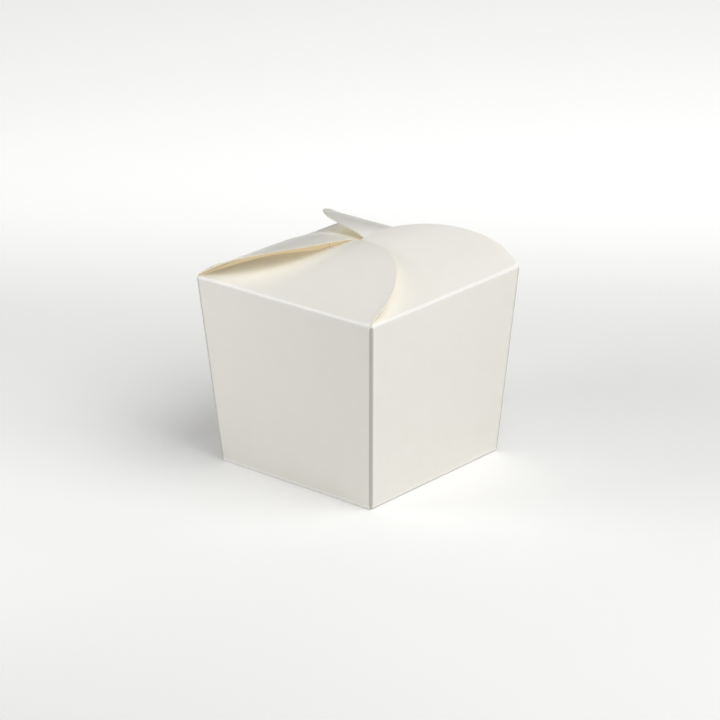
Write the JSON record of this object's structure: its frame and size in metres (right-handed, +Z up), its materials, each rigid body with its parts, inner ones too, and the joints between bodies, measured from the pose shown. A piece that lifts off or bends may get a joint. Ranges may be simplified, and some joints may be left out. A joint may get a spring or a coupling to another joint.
{
  "type": "takeout food box",
  "caption": "Square tapered paperboard food box with leaning walls, closed on top by half-round flaps that overlap in a pinwheel.",
  "frame": {"origin": "centre of the base panel's underside, on the surface that the box stands on", "axes": "+Z up; -Y is the way the front wall faces (left-hand wall in the picture); +X is the way the right wall faces"},
  "size_m": [0.1, 0.1, 0.1045],
  "materials": {
    "white_board": "satin clay-coated white outside, cream uncoated board inside"
  },
  "bodies": {
    "root": {"carton": "white_board"}
  },
  "joints": []
}
